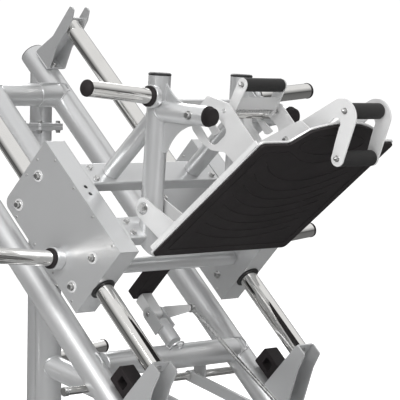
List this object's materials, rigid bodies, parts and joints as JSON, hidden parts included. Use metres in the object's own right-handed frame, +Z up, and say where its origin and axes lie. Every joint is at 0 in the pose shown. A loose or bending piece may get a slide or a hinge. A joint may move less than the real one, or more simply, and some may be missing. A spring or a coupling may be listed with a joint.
{
  "type": "leg press machine",
  "caption": "Plate-loaded 45 degree leg press: roller carriage on chrome rods, tilting rubber-faced footplate with foam rollers, swing-out stop and reclining seat.",
  "frame": {"origin": "on the floor under the middle of the machine's bounding box", "axes": "+Z up, +Y from the seat towards the high end of the rails, +X to the right of someone facing +Y; the sitter's back is towards -Y"},
  "size_m": [1.6636, 2.6, 1.5825],
  "materials": {
    "silver_paint": "light silver-grey gloss powder coat",
    "chrome": "polished hard chrome",
    "zinc": "bright zinc-plated steel",
    "bright_plate": "near-white silver satin plate",
    "rubber": "black moulded rubber",
    "foam": "fine-skinned black foam",
    "upholstery": "black grained synthetic leather with sewn seams"
  },
  "bodies": {
    "frame": {"guide_rod_left": "chrome", "main_tube_left": "silver_paint", "lower_rod_bracket_left": "silver_paint", "upper_rod_bracket_left": "silver_paint", "bumper_left": "rubber", "rear_post_left": "silver_paint", "storage_horn_left": "chrome", "front_foot_left": "rubber", "rear_foot_left": "rubber", "guide_rod_right": "chrome", "main_tube_right": "silver_paint", "lower_rod_bracket_right": "silver_paint", "upper_rod_bracket_right": "silver_paint", "bumper_right": "rubber", "rear_post_right": "silver_paint", "storage_horn_right": "chrome", "front_foot_right": "rubber", "rear_foot_right": "rubber", "lower_crossbar": "silver_paint", "upper_crossbar": "silver_paint", "center_column": "silver_paint", "rear_base_frame": "silver_paint", "seat_base_frame": "silver_paint", "seat_carrier": "silver_paint", "seat_pad": "upholstery"},
    "carriage": {"carriage_box_left": "silver_paint", "carriage_box_right": "silver_paint", "carriage_beam": "silver_paint", "front_beam": "silver_paint", "catch_tube": "silver_paint", "catch_block": "rubber", "upright_frame": "silver_paint", "upper_horn_left": "chrome", "upper_horn_right": "chrome", "lower_horn_left": "chrome", "lower_horn_right": "chrome"},
    "roller_left_lower_top_body": {"roller_left_lower_top": "zinc"},
    "roller_left_lower_under_body": {"roller_left_lower_under": "zinc"},
    "roller_left_upper_top_body": {"roller_left_upper_top": "zinc"},
    "roller_left_upper_under_body": {"roller_left_upper_under": "zinc"},
    "roller_right_lower_top_body": {"roller_right_lower_top": "zinc"},
    "roller_right_lower_under_body": {"roller_right_lower_under": "zinc"},
    "roller_right_upper_top_body": {"roller_right_upper_top": "zinc"},
    "roller_right_upper_under_body": {"roller_right_upper_under": "zinc"},
    "footplate_tray": {"footplate": "bright_plate", "footplate_mat": "rubber", "hook_plate_left": "bright_plate", "hook_plate_right": "bright_plate"},
    "foam_upper": {"foam_roller_upper": "foam"},
    "foam_lower": {"foam_roller_lower": "foam"},
    "tilt_handle_body": {"tilt_handle": "zinc", "tilt_handle_grip": "foam"},
    "backrest": {"back_frame": "silver_paint", "backrest_pad": "upholstery"},
    "clamp_knob": {"recline_knob": "zinc"},
    "lock_lever": {"lock_shaft": "chrome", "lock_grip_left": "foam", "lock_grip_right": "foam"},
    "push_rod": {"stop_link": "zinc"},
    "stop": {"stop_arm": "bright_plate"}
  },
  "joints": [
    {"name": "carriage_slide", "type": "slide", "parent": "frame", "child": "carriage", "axis": [0, 0.7071, 0.7071], "range_m": [0, 0.7]},
    {"name": "roller_left_lower_top_spin", "type": "hinge", "parent": "carriage", "child": "roller_left_lower_top_body", "pos_m": [-0.33, 0.14657, 0.75991], "axis": [1, 0, 0], "range_deg": [-1130, 1130]},
    {"name": "roller_left_lower_under_spin", "type": "hinge", "parent": "carriage", "child": "roller_left_lower_under_body", "pos_m": [-0.33, 0.23991, 0.66657], "axis": [1, 0, 0], "range_deg": [-1130, 1130]},
    {"name": "roller_left_upper_top_spin", "type": "hinge", "parent": "carriage", "child": "roller_left_upper_top_body", "pos_m": [-0.33, 0.39335, 1.00669], "axis": [1, 0, 0], "range_deg": [-1130, 1130]},
    {"name": "roller_left_upper_under_spin", "type": "hinge", "parent": "carriage", "child": "roller_left_upper_under_body", "pos_m": [-0.33, 0.48669, 0.91335], "axis": [1, 0, 0], "range_deg": [-1130, 1130]},
    {"name": "roller_right_lower_top_spin", "type": "hinge", "parent": "carriage", "child": "roller_right_lower_top_body", "pos_m": [0.33, 0.14657, 0.75991], "axis": [1, 0, 0], "range_deg": [-1130, 1130]},
    {"name": "roller_right_lower_under_spin", "type": "hinge", "parent": "carriage", "child": "roller_right_lower_under_body", "pos_m": [0.33, 0.23991, 0.66657], "axis": [1, 0, 0], "range_deg": [-1130, 1130]},
    {"name": "roller_right_upper_top_spin", "type": "hinge", "parent": "carriage", "child": "roller_right_upper_top_body", "pos_m": [0.33, 0.39335, 1.00669], "axis": [1, 0, 0], "range_deg": [-1130, 1130]},
    {"name": "roller_right_upper_under_spin", "type": "hinge", "parent": "carriage", "child": "roller_right_upper_under_body", "pos_m": [0.33, 0.48669, 0.91335], "axis": [1, 0, 0], "range_deg": [-1130, 1130]},
    {"name": "footplate_tilt", "type": "hinge", "parent": "carriage", "child": "footplate_tray", "pos_m": [0, 0.071, 0.91], "axis": [1, 0, 0], "range_deg": [-10, 0]},
    {"name": "foam_upper_spin", "type": "hinge", "parent": "footplate_tray", "child": "foam_upper", "pos_m": [0, -0.61621, 1.20972], "axis": [1, 0, 0], "continuous": true},
    {"name": "foam_lower_spin", "type": "hinge", "parent": "footplate_tray", "child": "foam_lower", "pos_m": [0, -0.58663, 1.07035], "axis": [1, 0, 0], "continuous": true},
    {"name": "tilt_handle_turn", "type": "hinge", "parent": "footplate_tray", "child": "tilt_handle_body", "pos_m": [0, -0.172, 1.21], "axis": [1, 0, 0], "range_deg": [0, 40], "stiffness_Nm_per_rad": 2, "springref_deg": -28.65},
    {"name": "backrest_recline", "type": "hinge", "parent": "frame", "child": "backrest", "pos_m": [0, -0.93, 0.2], "axis": [1, 0, 0], "range_deg": [-15, 0]},
    {"name": "recline_knob_turn", "type": "hinge", "parent": "backrest", "child": "clamp_knob", "pos_m": [0.0117, -1.02058, 0.2658], "axis": [-1, 0, 0], "range_deg": [0, 180]},
    {"name": "lock_lever_turn", "type": "hinge", "parent": "frame", "child": "lock_lever", "pos_m": [0, -0.19, 0.235], "axis": [1, 0, 0], "range_deg": [-55, 0]},
    {"name": "push_rod_turn", "type": "hinge", "parent": "lock_lever", "child": "push_rod", "pos_m": [0.068, -0.29, 0.255], "axis": [1, 0, 0], "range_deg": [0, 55]},
    {"name": "stop_swing", "type": "hinge", "parent": "frame", "child": "stop", "pos_m": [0, 0.2491, 0.55697], "axis": [1, 0, 0], "range_deg": [-55, 0]}
  ],
  "couplings": [
    {"joint": "roller_left_lower_top_spin", "follows": "carriage_slide", "rad_per_m": -28.011},
    {"joint": "roller_left_lower_under_spin", "follows": "carriage_slide", "rad_per_m": 28.011},
    {"joint": "roller_left_upper_top_spin", "follows": "carriage_slide", "rad_per_m": -28.011},
    {"joint": "roller_left_upper_under_spin", "follows": "carriage_slide", "rad_per_m": 28.011},
    {"joint": "roller_right_lower_top_spin", "follows": "carriage_slide", "rad_per_m": -28.011},
    {"joint": "roller_right_lower_under_spin", "follows": "carriage_slide", "rad_per_m": 28.011},
    {"joint": "roller_right_upper_top_spin", "follows": "carriage_slide", "rad_per_m": -28.011},
    {"joint": "roller_right_upper_under_spin", "follows": "carriage_slide", "rad_per_m": 28.011},
    {"joint": "push_rod_turn", "follows": "lock_lever_turn", "ratio": -1},
    {"joint": "stop_swing", "follows": "lock_lever_turn", "ratio": 1}
  ]
}
